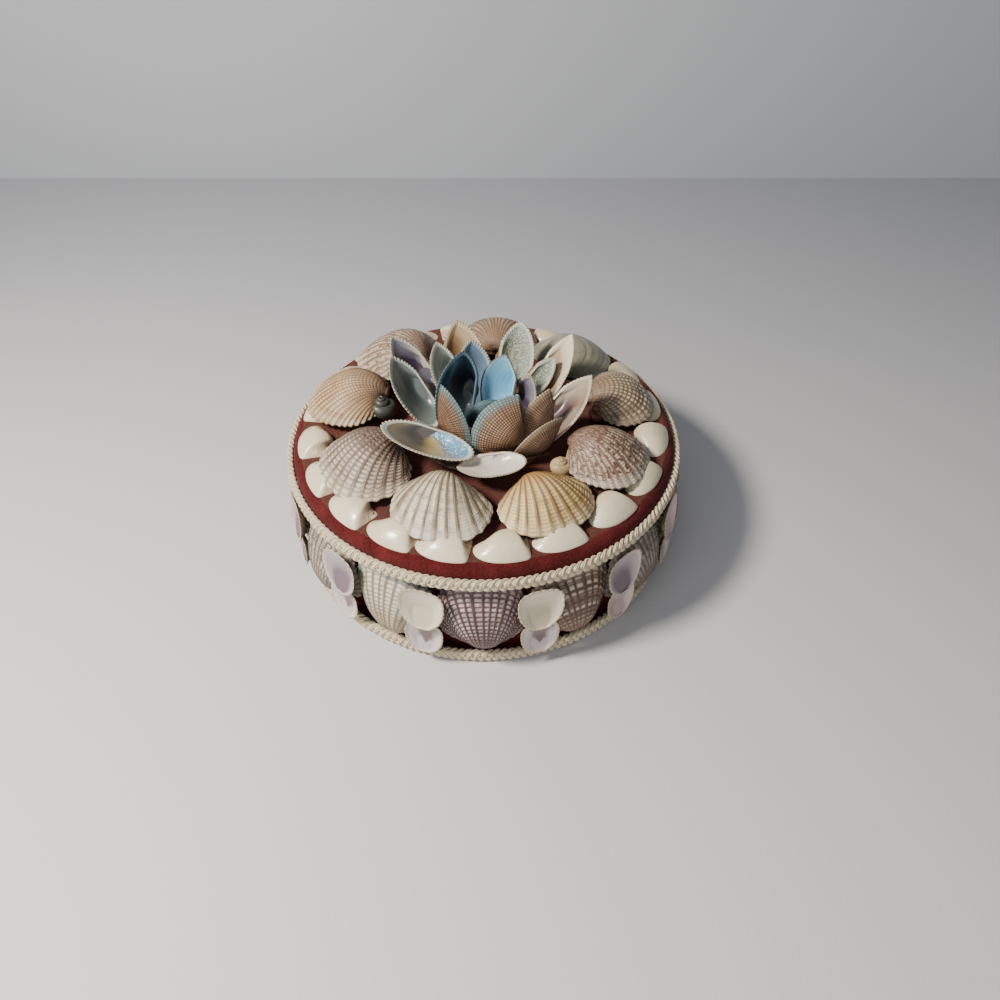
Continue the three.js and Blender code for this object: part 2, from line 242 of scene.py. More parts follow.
class Net:
    """One material's nodes."""

    def __init__(self, name):
        self.material = bpy.data.materials.new(name)
        self.material.use_nodes = True
        self.tree = self.material.node_tree
        self.tree.nodes.clear()

    def node(self, kind, settings=None, sockets=None, out=0):
        """Adds a node, makes its settings first, then fills or links its sockets, and returns one output."""
        node = self.tree.nodes.new("ShaderNode" + kind)
        for key, setting in (settings or {}).items():
            setattr(node, key, setting)
        pairs = enumerate(sockets) if isinstance(sockets, list) else (sockets or {}).items()
        for key, value in pairs:
            if isinstance(value, Value):
                self.tree.links.new(value.socket, node.inputs[key])
            elif value is not None:
                is_colour = node.inputs[key].type == "RGBA" and len(value) == 3
                node.inputs[key].default_value = (*value, 1) if is_colour else value
        return Value(self, node.outputs[out]) if node.outputs else node

    def mix(self, factor, a, b):
        """Colour a where the factor is 0 and colour b where it is 1."""
        return self.node("Mix", {"data_type": "RGBA"}, {0: factor, 6: a, 7: b}, out=2)

    def chart(self):
        """The piece's own map: across its fan, and from its beak to its margin."""
        place = self.node("TexCoord", out=2)
        parts = self.node("SeparateXYZ", None, [place])
        return parts, Value(self, parts.socket.node.outputs[1])

    def place(self):
        """The place on the object, in metres."""
        return self.node("TexCoord", out=3)

    def vector(self, x=0.0, y=0.0, z=0.0):
        return self.node("CombineXYZ", None, [x, y, z])

    def noise(self, where, scale, detail=3.0, rough=0.5, seed=0.0):
        settings = {"noise_dimensions": "4D"}
        sockets = {"Vector": where, "W": seed, "Scale": scale, "Detail": detail, "Roughness": rough}
        return self.node("TexNoise", settings, sockets)

    def cells(self, where, scale, out):
        return self.node("TexVoronoi", None, {"Vector": where, "Scale": scale}, out)

    def bump(self, height, distance, strength):
        return self.node("Bump", None, {"Strength": strength, "Distance": distance, "Height": height})

    def finish(self, **sockets):
        """Ends the material in one shader: words in the names are joined by underscores."""
        named = {key.replace("_", " "): value for key, value in sockets.items()}
        shader = self.node("BsdfPrincipled", None, named)
        self.node("OutputMaterial", None, [shader])
        return self.material


def shaded(colour, share):
    """A colour made darker or lighter by one share."""
    return tuple(share * c for c in colour)


def velvet_finish(name, colour, stain=None):
    """Short crimson pile that lightens where it is brushed, browned by glue where stain is given."""
    net = Net(name)
    place = net.place()
    brushed = net.noise(place, 110.0, 4.0, 0.6).rise(0.4, 0.75)
    pile = net.noise(place, 1700.0, 2.0, 0.6).rise(0.3, 0.75)
    light = tuple(1.25 * c + 0.006 for c in colour)
    shade = net.mix(brushed * 0.5 + pile * 0.45, shaded(colour, 0.4), light)
    if stain:
        patch = net.noise(place, 70.0, 5.0, 0.65, 3.0).rise(0.25, 0.6)
        shade = net.mix(patch * 0.4 + 0.55, shade, net.mix(pile, shaded(stain, 0.55), stain))
    height = pile + net.noise(place, 500.0, 3.0, 0.6) * 0.4
    normal = net.bump(height, 0.00022, 0.7)
    return net.finish(
        Base_Color=shade,
        Roughness=0.95,
        Specular_IOR_Level=0.1,
        Sheen_Weight=0.16,
        Sheen_Roughness=0.5,
        Sheen_Tint=(0.8, 0.35, 0.33, 1),
        Normal=normal,
    )


def braid_finish(name, colour):
    """Cream cotton: fine yarns run along each strand with painted shade between them, and dust lies over them
    in patches.
    """
    net = Net(name)
    around, along = net.chart()
    yarns = (around * 6 + along * 420).wave()
    fluff = net.noise(net.place(), 1300.0, 3.0, 0.65).rise(0.3, 0.7)
    dust = net.noise(net.place(), 160.0, 4.0, 0.6).rise(0.45, 0.75)
    # painted shade darkens the lines between the yarns, and the fluff darkens it at random
    shade = net.mix((1 - yarns) * 0.4 + (1 - fluff) * 0.35, colour, shaded(colour, 0.6))
    shade = net.mix(dust * 0.35, shade, srgb(DUST))
    normal = net.bump(yarns + fluff * 0.5, 0.00025, 0.8)
    return net.finish(
        Base_Color=shade,
        Roughness=0.8,
        Specular_IOR_Level=0.25,
        Sheen_Weight=0.25,
        Normal=normal,
    )


def glue_finish(name):
    """Old clear glue: brown where it has soaked into the velvet, paler where it stands thick."""
    thin, thick = GLUES[name]
    net = Net(name)
    cloud = net.noise(net.place(), 260.0, 4.0, 0.6)
    shade = net.mix(cloud.rise(0.4, 0.7), srgb(thin), srgb(thick))
    bump = net.bump(cloud, 0.001, 0.6)
    return net.finish(Base_Color=shade, Roughness=0.42, Specular_IOR_Level=0.4, Coat_Weight=0.25, Normal=bump)


def porcelain_finish(name, seed, tint):
    """Small white shells: glossy ivory, browned and finely ribbed on the squared end behind the keel."""
    net = Net(name)
    across, out = net.chart()
    bands = net.noise(net.vector(across * 0.6, out * 9.0, seed), 1.0, 3.0, 0.6).rise(0.35, 0.7)
    shade = net.mix(bands * 0.45, srgb(WHITE_BAND), srgb(tint))
    near_beak = 1 - out.rise(0.25, 0.8)
    shade = net.mix(near_beak * 0.45, shade, srgb(WHITE_BEAK))
    smudge = net.noise(net.place(), 240.0, 4.0, 0.65, seed).rise(0.5, 0.75)
    shade = net.mix(smudge * 0.35, shade, srgb(WHITE_SMUDGE))
    end = across.rise(0.74, 0.84)
    ribs = (across * 90.0).wave() * end
    shade = net.mix(end * 0.45 + ribs * 0.25, shade, srgb(WHITE_END))
    height = net.noise(net.vector(across * 2.0, out * 60.0, seed), 1.0, 2.0, 0.5) + ribs
    normal = net.bump(height, 0.00016, 0.6)
    return net.finish(Base_Color=shade, Roughness=0.3, Coat_Weight=0.45, Coat_Roughness=0.12, Normal=normal)


def ark_finish(name, look, seed):
    """A ribbed shell's outside. A look gives the colours of its ribs, grooves, beak, margin and spots; the
    darker grooves are partly the shell's own colour and partly painted shade.
    """
    groove, rim_tone = srgb(look["groove"]), srgb(look["rim"])
    net = Net(name)
    across, out = net.chart()
    ribs = max(1, look["ribs"])
    patchy = net.noise(net.vector(across * 5.0, out * 3.0, seed), 1.0, 4.0, 0.6)
    growth = net.noise(net.vector(across * 0.8, out * 13.0, seed + 5.0), 1.0, 4.0, 0.65)
    crest = (across * ribs + (patchy - 0.5) * 0.1).wave().rise(0.06, 0.55)
    thread = ((out + (growth - 0.5) * 0.03) * look["rows"]).wave().rise(0.05, 0.6)
    cell = crest * (1 - (1 - thread) * look["weave"])
    rib = net.mix(patchy.rise(0.35, 0.65), srgb(look["rib"]), srgb(look["rib2"]))
    beak = 1 - (out + (patchy - 0.5) * 0.35).rise(*look["beak_at"])
    rib = net.mix(beak * look["beak_share"], rib, srgb(look["beak"]))
    rim = (out + (growth - 0.5) * 0.12).rise(*look["rim_at"])
    rib = net.mix(rim * look["rim_share"], rib, rim_tone)
    rib = net.mix(growth.rise(*look["band_at"]) * look["bands"], rib, srgb(look["band"]))
    if "spot" in look:
        at = net.vector(across * ribs * 2.1, out * look["spot_rows"], seed)
        inner = 1 - out.rise(*look["spots_end"])
        spots = net.noise(at, 1.0, 2.0, 0.5).rise(*look["spot_at"]) * inner
        rib = net.mix(spots * look["spot_share"], rib, srgb(look["spot"]))
    along_ribs = net.vector(across * ribs * 0.7, out * 3.0, seed + 2.0)
    toned = net.noise(along_ribs, 1.0, 3.0, 0.6).rise(0.45, 0.7)
    rib = net.mix(toned * 0.3, rib, groove)
    # between the crests and growth threads the groove colour is laid: partly the shell's own darker colour,
    # partly painted shade in the grooves
    shade = net.mix(cell, net.mix(rim * 0.3, groove, rim_tone), rib)
    grime = net.noise(net.place(), 300.0, 6.0, 0.75, seed).rise(0.48, 0.72)
    shade = net.mix(grime * 0.5, shade, srgb(GRIME))
    fine = net.noise(net.vector(across * 60.0, out * 110.0, seed), 1.0, 3.0, 0.6)
    normal = net.bump(cell * 0.8 + fine * 0.35 + growth * 0.5, 0.0003, 0.9)
    return net.finish(
        Base_Color=shade,
        Roughness=grime * 0.2 + look["rough"],
        Specular_IOR_Level=0.4,
        Coat_Weight=0.08,
        Coat_Roughness=0.25,
        Normal=normal,
    )


def inside_finish(name, look, seed):
    """A valve's polished inside: a darker floor, partly its own colour and partly painted shade deep in the
    hollow, a pale rim and a lustre.
    """
    net = Net(name)
    across, out = net.chart()
    cloud = net.noise(net.vector(across * 2.2, out * 2.5, seed), 1.0, 4.0, 0.55)
    where = out + (cloud - 0.5) * 0.3
    # the floor's darker colour is partly the shell's own and partly painted shade deep in the hollow
    shade = net.mix(where.rise(0.45, 0.85), srgb(look["floor"]), srgb(look["middle"]))
    lines = net.noise(net.vector(across * 1.2, out * 16.0, seed + 4.0), 1.0, 4.0, 0.6).rise(0.4, 0.7)
    shade = net.mix(lines * 0.28, shade, shaded(srgb(look["floor"]), 0.5))
    if "end" in look:
        side = (across + (cloud - 0.5) * 0.25).rise(*look["end_at"])
        shade = net.mix(side * 0.9, shade, srgb(look["end"]))
    if "streak" in look:
        lane = across + (cloud - 0.5) * 0.2
        streak = lane.rise(*look["streak_from"]) * (1 - lane.rise(*look["streak_to"]))
        shade = net.mix(streak * 0.85, shade, srgb(look["streak"]))
    rim = (out + (cloud - 0.5) * 0.06).rise(0.93, 0.98)
    shade = net.mix(rim * 0.9, shade, srgb(look["rim"]))
    fine = net.noise(net.vector(across * 60.0, out * 26.0, seed), 1.0, 3.0, 0.6)
    height = fine * 0.5 + cloud * 0.5
    if "glitter" in look:
        flakes = net.cells(net.place(), 2600.0, out=0)
        facet = net.node("SeparateXYZ", None, [net.cells(net.place(), 2600.0, out=1)])
        near = across.rise(*look["glitter_at"])
        # painted glint: a share of the glitter's flakes is coloured bright as if it caught the light
        lit = facet.rise(0.8, 0.86) * look["glitter"] * near
        shade = net.mix(lit, shade, GLITTER_GLINT)
        height = height + (facet - flakes) * 1.6 * near
    normal = net.bump(height, 0.00018, 0.6)
    return net.finish(
        Base_Color=shade,
        Roughness=look["rough"],
        Coat_Weight=0.4,
        Coat_Roughness=0.15,
        Normal=normal,
    )


# ---- Shells ----
# A valve lies in its own frame with its hinge along X, its margin towards +Y and its dome towards +Z. Its
# outline is a rounded D, and the shell is that outline turned about the hinge while it shrinks to the beak.
#   width, length   across the hinge and from the hinge to the margin
#   hinge, square   where the outline is widest, as a share of the length, and how square its corners are
#   shift, skew     how far the mouth and the beak sit to one side, as a share of the width
#   point, taper    how sharp the end at +X is, and how far the hinge's side narrows
#   cut, hand       where the end at +X is squared off, if below 1, and -1 for the other hand
#   spiral, lift    how fast the outline turns up as it shrinks, and how far it is filled out behind
#   beak, deep      the smallest size outside and inside, as a share of the margin's
#   ribs, rib       how many ribs, and how high
#   bead, beads     how deeply and how often the ribs are notched
#   flute, ring     depth of the margin's teeth, and height of the growth steps
#   thick           wall of an open valve
PLAIN_VALVE = {
    "shift": 0, "skew": 0, "point": 0, "taper": 0, "cut": 1, "hand": 1, "lift": 0, "ribs": 0, "flute": 0,
}
ARK = {
    **PLAIN_VALVE, "hinge": 0.4, "square": 2.3, "skew": 0.05, "spiral": 0.87, "lift": 0.25, "beak": 0.14,
    "flute": 0.022, "ring": 0.12,
}
SIDE_ARK = {
    **ARK, "width": 28.2, "length": 28.4, "hinge": 0.43, "square": 3.5, "skew": 0.03, "spiral": 0.6,
    "lift": 0.38,
}
WHITE = {
    **PLAIN_VALVE, "width": 16.6, "length": 10.4, "hinge": 0.45, "square": 2.15, "shift": 0.12, "cut": 0.55,
    "hand": -1, "spiral": 1.3, "beak": 0.2, "ring": 0.04,
}
PETAL = {
    **PLAIN_VALVE, "hinge": 0.5, "square": 2.1, "spiral": 0.85, "beak": 0.16, "deep": 0.34, "ribs": 46,
    "rib": 0.26, "bead": 0.55, "beads": 24, "flute": 0.016, "ring": 0.06, "thick": 1.2,
}
CUP = {
    **PETAL, "hinge": 0.66, "square": 2.6, "taper": 0.55, "spiral": 0.46, "beak": 0.3, "deep": 0.5,
    "ribs": 24, "rib": 0.12, "thick": 0.9,
}
CORNER = 14  # how sharply a squared end turns
LIP = 0.035  # share of the length that the hinge's edge cuts off the outline
OUTLINE_STEPS = 4000
DOME_DENSITY, OPEN_DENSITY = 7, 4  # faces across each rib
MARGIN = ((0.01, -0.25), (0.05, -0.4), (0.09, -0.1), (0.12, 0.6))  # a dome's margin: how far in, how far up
GLUE_HEIGHT = 0.3  # of the glue in a dome, above its mouth
CLOSING_SIZES = np.array([0.8, 0.6, 0.4, 0.2])  # the pattern's sizes on the floor of an open valve
RIM_HIGH, RIM_LOW = -0.12, -0.18  # how far an open valve's rim bulges out of its mouth


def outline(valve, columns, hinge_columns):
    """The mouth's outline evenly along its curve, then back along the hinge, and each point's fan place."""
    low = valve["length"] * valve["hinge"]
    high = valve["length"] - low
    lip = LIP * valve["length"]
    start = -math.asin(((low - lip) / low) ** (valve["square"] / 2))
    angle = np.linspace(start, math.pi - start, OUTLINE_STEPS)
    cosine, sine = np.cos(angle), np.sin(angle)
    power = 2 / valve["square"]
    x = np.sign(cosine) * np.abs(cosine) ** (power + valve["taper"] * (sine < 0))
    y = np.sign(sine) * np.abs(sine) ** (power + valve["point"] * (cosine > 0))
    cut = valve["cut"]
    if cut < 1:
        x = -np.logaddexp(-CORNER * x, -CORNER * cut) / CORNER
        x = (2 * x + 1 - cut) / (1 + cut)
    x = valve["width"] / 2 * x
    y = low + np.where(y > 0, high, low) * y
    if valve["hand"] < 0:
        x, y = -x[::-1], y[::-1]
    x = x + valve["shift"] * valve["width"]
    run = np.concatenate([[0], np.cumsum(np.hypot(np.diff(x), np.diff(y)))])
    share = np.linspace(0, 1, columns)
    x, y = (np.interp(share * run[-1], run, c) for c in (x, y))
    back = np.linspace(0, 1, hinge_columns + 2)[1:]
    x = np.concatenate([x, x[-1] + (x[0] - x[-1]) * back])
    y = np.concatenate([y, y[-1] + (y[0] - y[-1]) * back])
    return np.stack([x, y]), np.concatenate([share, 1 + 0.1 * back])


def middle_of(valve):
    return np.array([valve["shift"] * valve["width"], valve["length"] / 2, 0])


def growth_lines(valve, edge, sizes):
    """The outline at each of its earlier sizes, turned up about the hinge and filled out behind."""
    turn = valve["spiral"] * np.log(1 / sizes)[:, None]
    size = sizes[:, None]
    lean = valve["skew"] * valve["width"] * (1 - size)
    lift = valve["lift"] * valve["length"]
    y = size * edge[1] * np.cos(turn)
    z = size * (edge[1] + lift) * np.sin(turn)
    return np.stack([size * edge[0] + lean, y, z], axis=2)


def relief(valve, fan, sizes, seed):
    """Height of the ribs, beads, growth steps and dents over the valve's plain form."""
    size = sizes[:, None]
    ends = smooth(0, 0.05, fan) * smooth(0, 0.05, 1 - fan)
    height = valve["ring"] * size * ripple(seed, sizes, 8, 4.0, 1.5)[:, None]
    height = height + 0.4 * valve["ring"] * ripple(seed + 1, fan, 6, 2.0, 1.7)[None, :] * size
    height = height + valve["ring"] * size * np.sin(TAU * (1.3 * fan + 1.7 * size) + seed) * ends
    if valve["ribs"]:
        crest = 1 - smooth(0.4, 0.95, np.abs((fan * valve["ribs"]) % 1 - 0.5) * 2)
        beads = 1 + valve["bead"] * np.cos(TAU * valve["beads"] * size + 2 * ripple(seed + 2, fan))
        worn = 1 + 0.25 * ripple(seed + 4, fan, 5, 5.0, 1.8)
        height = height + valve["rib"] * size**0.8 * crest * beads * ends * worn
    return height


def outside(valve, columns, rows, seed):
    """A valve's outer skin: its points, its fan places and its growth sizes, beak first."""
    edge, fan = outline(valve, columns, max(4, columns // 12))
    inner = smooth(0, 0.08, fan) * smooth(0, 0.08, 1 - fan)
    fan = fan + 0.35 / max(8, valve["ribs"]) * ripple(seed + 3, fan, 5, 2.0, 1.6) * inner
    sizes = np.linspace(valve["beak"], 1, rows)
    skin = growth_lines(valve, edge, sizes)
    plain = normals_of(skin)
    skin = skin + plain * relief(valve, fan, sizes, seed)[..., None]
    if valve["ribs"]:
        middle = middle_of(valve)
        wave = np.cos(TAU * fan * valve["ribs"]) * (fan <= 1)
        flute = 1 - valve["flute"] * wave * smooth(0.5, 1, sizes)[:, None]
        skin = middle + (skin - middle) * flute[..., None]
    return skin, fan, sizes


def tip(ring, steps=4, height=0.5):
    """Rounds a small end ring off to its middle, bulging away from the next ring."""
    centre = ring[:-1].mean(axis=0)
    across = np.roll(ring[:-1], -1, axis=0) - ring[:-1]
    normal = unit(np.cross(ring[:-1] - centre, across).sum(axis=0))
    reach = np.linalg.norm(ring[:-1] - centre, axis=1).mean() * height
    rows = []
    for angle in np.linspace(math.pi / 2, 0, steps + 1)[:-1]:
        rows.append(centre + (ring - centre) * math.cos(angle) + normal * reach * math.sin(angle))
    return np.array(rows)


def dome(name, valve, matrix, seed, finishes, rows=60, bed=None):
    """A valve lying on its mouth, filled with glue down to its bed, or just inside its mouth without one."""
    columns = max(48, valve["ribs"] * DOME_DENSITY + 1)
    skin, fan, sizes = outside(valve, columns, rows, seed)
    cap = tip(skin[0])
    mouth = skin[-1]
    middle = mouth[:-1].mean(axis=0)

    def drawn(share, height):
        """The mouth drawn in by a share and moved up."""
        return mouth + (middle - mouth) * share + height * UP

    edge = np.array([drawn(share, height) for share, height in MARGIN])
    body = placed(np.concatenate([cap, skin, edge]), matrix)
    if bed is None:
        glue = placed(np.array([drawn(0.3, GLUE_HEIGHT), drawn(1.0, GLUE_HEIGHT)]), matrix)
    else:
        ring, centre = body[-1], body[-1][:-1].mean(axis=0)
        glue = np.array([ring + (centre - ring) * share for share in (0.3, 0.38, 1.0)])
        glue[0, :, 2] = 0.5 * (bed + ring[:, 2])
        glue[1:, :, 2] = bed
    points = np.concatenate([body, glue])
    size_of = np.concatenate([sizes[:1].repeat(len(cap)), sizes, np.ones(len(edge) + len(glue))])
    glued = len(glue) + 1
    bands = [0] * (len(points) - 1 - glued) + [1] * glued
    return grid_piece(name, points, chart_of(fan, size_of), finishes, bands)


def open_valve(name, valve, matrix, seed, finishes, rows=34):
    """A valve lying open: its ribbed outside, a rounded margin and its polished inside."""
    columns = max(60, valve["ribs"] * OPEN_DENSITY + 1)
    skin, fan, sizes = outside(valve, columns, rows, seed)
    edge, _ = outline(valve, columns, max(4, columns // 12))
    inner_sizes = np.linspace(1, valve["deep"], rows // 2)
    lining = growth_lines(valve, edge, inner_sizes)
    width, length, wall = valve["width"], valve["length"], valve["thick"]
    middle = middle_of(valve)
    rise = math.atan(valve["spiral"])
    dome_height = length * math.exp(-rise / valve["spiral"]) * math.sin(rise)
    lining = middle + (lining - middle) * (1 - wall / np.array([width / 2, length / 2, dome_height]))
    teeth = np.cos(TAU * fan * valve["ribs"]) * (fan <= 1)
    fade = smooth(0.86, 1.0, inner_sizes)[:, None] * valve["flute"]
    lining = middle + (lining - middle) * (1 + fade * teeth)[..., None]
    rim = [
        (1 - share) * skin[-1] + share * lining[0] + height * UP
        for share, height in ((0.15, RIM_HIGH), (0.5, RIM_LOW), (0.85, RIM_HIGH))
    ]
    cap = tip(skin[0])
    last = lining[-1]
    centre = last[:-1].mean(axis=0)
    closing = np.array([last + (centre - last) * share for share in (0.25, 0.5, 0.75, 1.0)])
    points = placed(np.concatenate([cap, skin, rim, lining, closing]), matrix)
    floor_sizes = valve["deep"] * CLOSING_SIZES
    size_of = [sizes[:1].repeat(len(cap)), sizes, np.ones(len(rim)), inner_sizes, floor_sizes]
    outer = len(cap) + len(sizes) + 1
    bands = [0] * outer + [1] * (len(points) - 1 - outer)
    return grid_piece(name, points, chart_of(fan, np.concatenate(size_of)), finishes, bands)


# ---- The box ----
WALL_RADIUS, WALL, FLOOR = 62, 3.4, 3
SHOULDER, NECK_RADIUS, RIM_HEIGHT = 36, 60.6, 40  # the lid's skirt comes down to the shoulder
FOOT_RADIUS, FOOT_HEIGHT = 64.7, 3.2
GAP = 0.3  # between the body and the lid
LID_RADIUS, LID_TOP, LID_ROLL = 65, 44, 3.8  # the roll is the radius of the velvet's edge
LID_UNDERSIDE = RIM_HEIGHT + GAP
SKIRT_BOTTOM = SHOULDER + GAP
BODY_ROUNDING, SKIRT_ROUNDING = 0.8, 0.5
BRAIDS = {  # inner radius, thickness, bottom and height
    "lid_braid": (65.0, 2.6, SKIRT_BOTTOM - 0.1, 4.7),
    "foot_braid": (64.7, 2.9, 0.15, 4.9),
}
STRAND_WIDE, STRAND_THICK = 0.26, 0.27  # half a strand's sizes, as shares of its braid's
STRAND_LEAN, STRAND_SQUEEZE = 0.8, 0.25  # how a strand's edge leans and narrows with its slope
STRAND_STEPS, STRAND_SIDES = 18, 12  # faces along each plait and round each strand
MOUND_RADIUS, MOUND_HEIGHT = 25, 3.4  # the glue under the flower
MOUND_FOOT, MOUND_EDGE = LID_TOP - 0.5, LID_TOP - 0.2  # its underside, and the height where it starts to rise


def box_body(finish):
    """The box without its lid: up the outside from the foot, over the neck and down to the floor inside."""
    inside = WALL_RADIUS - WALL
    corners = [(0, 0), (FOOT_RADIUS, 0), (FOOT_RADIUS, FOOT_HEIGHT), (WALL_RADIUS, FOOT_HEIGHT)]
    corners += [(WALL_RADIUS, SHOULDER), (NECK_RADIUS, SHOULDER), (NECK_RADIUS, RIM_HEIGHT)]
    corners += [(inside, RIM_HEIGHT), (inside, FLOOR), (0, FLOOR)]
    return turned("box_body_velvet", rounded(corners, BODY_ROUNDING), [finish])


def uneven(points):
    """Velvet over board: the top sinks a little in places, and the roll is puckered under its braid."""
    radius = np.hypot(points[..., 0], points[..., 1])
    turn = np.arctan2(points[..., 0], -points[..., 1]) / TAU
    top = smooth(LID_UNDERSIDE + 1, LID_TOP, points[..., 2])
    soft = 0.16 * ripple(11, radius / 60 + 0.3 * np.sin(TAU * turn), 4, 1.5) * top
    roll = smooth(60, 64, radius) * top
    pucker = 0.1 * ripple(5, turn, 5, 23.0, 1.7) * roll
    lowered = np.minimum(soft + pucker, 0.0) * smooth(0, 6, radius)
    made = points.copy()
    made[..., 2] += lowered
    return made


def lumpy(points):
    """Glue that was dropped in blobs: it swells and sinks by about a millimetre."""
    turn = np.arctan2(points[..., 0], -points[..., 1]) / TAU
    radius = np.hypot(points[..., 0], points[..., 1])
    swell = ripple(61, turn, 5, 3.0, 1.8) * smooth(2, 12, radius) + ripple(62, radius / 27, 4, 1.5, 1.6)
    made = points.copy()
    made[..., 2] += 0.5 * swell * smooth(LID_TOP, LID_TOP + 1, points[..., 2])
    return made


def glue_mound(finish):
    """The glue that the flower stands in, sunk a little into the velvet."""
    profile = [(0, MOUND_FOOT), (MOUND_RADIUS, MOUND_FOOT)]
    for a in np.linspace(0, math.pi / 2, 40):
        profile.append((MOUND_RADIUS * math.cos(a), MOUND_EDGE + MOUND_HEIGHT * math.sin(a)))
    return turned("flower_glue", profile, [finish], 160, relief=lumpy)


def lid_cap(edge_finish, top_finish):
    """The lid: out along its underside, down and round its skirt, over the roll and in along the top."""
    inside_skirt = NECK_RADIUS + GAP
    middle = LID_RADIUS - LID_ROLL
    corners = [(0, LID_UNDERSIDE), (inside_skirt, LID_UNDERSIDE), (inside_skirt, SKIRT_BOTTOM)]
    corners += [(LID_RADIUS, SKIRT_BOTTOM), (LID_RADIUS, LID_TOP - LID_ROLL)]
    under = rounded(corners, SKIRT_ROUNDING)
    roll = [
        (middle + LID_ROLL * math.cos(a), LID_TOP - LID_ROLL + LID_ROLL * math.sin(a))
        for a in np.linspace(0, math.pi / 2, 14)
    ]
    top = [(r, LID_TOP) for r in np.linspace(middle, 0, 60)[1:]]
    profile = under[:-1] + roll + top
    clean = len(under) + len(roll) - 4  # the glue's stain starts just inside the roll
    bands = [0] * clean + [1] * (len(profile) - 1 - clean)
    return turned("lid_velvet", profile, [edge_finish, top_finish], 240, bands, uneven)


def braid(name, inner, thick, bottom, tall, plaits, finish):
    """Three flattened strands plaited round the box, made as closed rings."""
    along = np.linspace(0, 1, plaits * STRAND_STEPS + 1)
    around = np.linspace(0, 1, STRAND_SIDES + 1)
    chart = chart_of(along, around)[..., ::-1]
    half_wide, half_thick = STRAND_WIDE * tall, STRAND_THICK * thick
    middle = inner + thick / 2
    up = half_wide * np.cos(TAU * around)[:, None]
    out = half_thick * np.sin(TAU * around)[:, None]
    strands = []
    for strand in range(3):
        phase = TAU * (plaits * along + strand / 3)
        slope = np.cos(phase)
        r = middle + (thick / 2 - half_thick) * np.sin(2 * phase) + out
        z = bottom + tall / 2 + (tall / 2 - half_wide) * np.sin(phase)
        z = z + up * (1 - STRAND_SQUEEZE * np.abs(slope))
        angle = TAU * along - up * STRAND_LEAN * slope / middle
        points = np.stack([r * np.sin(angle), -r * np.cos(angle), z], axis=2)
        strands.append(grid_piece(f"{name}_strand_{strand + 1}", points, chart, [finish]))
    deselect()
    for piece in strands:
        piece.select_set(True)
    bpy.context.view_layer.objects.active = strands[0]
    bpy.ops.object.join()
    strands[0].name = strands[0].data.name = name
    return strands[0]


# ---- Where the shells go ----
# Lid arks: azimuth, radius, width and length, the tucked white shell's azimuth, and the shell's look.
LID_ARKS = [
    (-15.5, 46.9, 33, 24, -9.2, "speckled"),
    (25, 47.6, 32.4, 22, 25.4, "butter"),
    (62, 46, 30, 26, 63.4, "spotted"),
    (102, 48.4, 32, 23, 101.5, "banded"),
    (137, 47.6, 31, 25, 137, "plain"),
    (175, 47.2, 33, 25, 173.5, "woven"),
    (-138, 48.2, 34, 28, -133, "flecked"),
    (-101, 48.4, 31, 28, -97, "tan"),
    (-56, 45.6, 35, 27, -60.2, "plum"),
]
GAP_WHITES = [-78.7, -42.5, -25.4, 8, 45, 83, 119.5, 155.5, -168.5, -150.5, -115]
ARK_LIFT, ARK_TILT = 3, 3  # how high a lid ark's margin lies, and how far its beak tips up
WHITE_RADIUS = 57.7

# Petals: foot, tip, width, the azimuth and elevation that the hollow looks to, the hand of the margin, with 1
# for right, the looks of the inside and of the outside, and how sharp the tip is.
PETALS = {
    "front_left_low": ((-2.5, -26.5, 53), (-31.5, -20, 60), 15, (180, 86), -1, "sand_blue", "pale", 0.15),
    "front_low": ((14, -29, 53), (-8, -30.5, 51.5), 13, (180, 86), -1, "white", "pale", 0.5),
    "outer_front_right": ((10, -22, 47), (25.5, -16.5, 60), 11, (-160, 20), 1, "white", "tan", 0.65),
    "outer_right": ((16, -15, 47), (35.5, -2, 66), 15, (-61, 36), 1, "mauve", "pale", 0.85),
    "outer_right_back": ((17, 5, 46), (30.4, 19, 68), 13, (-50, 25), 1, "cream", "pale", 0.8),
    "outer_back_right": ((9, 12, 46), (13, 28, 67), 14, (-20, 25), 1, "pearl", "pale", 0.4),
    "pearl": ((13, 9, 47), (24.6, 13.6, 62), 9, (-30, 45), 1, "pearl", "pale", 0.65),
    "outer_back_left": ((-4, 12, 46), (-9.5, 29, 67), 15, (5, 30), 1, "tan", "tan", 0.65),
    "small_back_left": ((-10, 9, 46), (-16.5, 20, 64), 11, (30, 30), -1, "sage", "pale", 0.65),
    "outer_left_back": ((-15, 7, 46), (-31.8, 20.5, 66), 14, (50, 38), -1, "violet", "pale", 0.65),
    "outer_left": ((-16, -5, 46), (-31, 10, 65), 15, (60, 32), -1, "sage", "pale", 0.65),
    "inner_left": ((-11, -7, 46), (-6, 4, 71.5), 17, (38, 18), -1, "navy", "teal", 0.6),
    "inner_back": ((-2, 6, 46), (-4, 14, 69), 13, (10, 20), 1, "slate", "pale", 0.65),
    "inner_back_right": ((3, 2, 46), (7.4, 6, 68.8), 13, (-20, 15), -1, "sky", "teal", 0.9),
    "inner_right": ((11, 0, 46), (16, 2, 63), 11, (-40, 30), 1, "violet", "tan", 0.65),
    "inner_front_right": ((12, -13, 45), (21.5, -9.5, 66), 13, (-150, 5), 1, "slate", "tan", 0.8),
    "inner_front": ((-1, -19.5, 45), (11.5, -13.5, 67), 16, (170, 15), 1, "teal", "teal", 0.95),
    "inner_front_left": ((-5, -18, 45), (-13, -10.5, 68.5), 11, (145, 0), -1, "teal", "teal", 0.9),
    "heart": ((-5, -7.5, 49), (6, -5.5, 58), 10, (180, 0), 1, "slate", "dusk", 0.65),
}

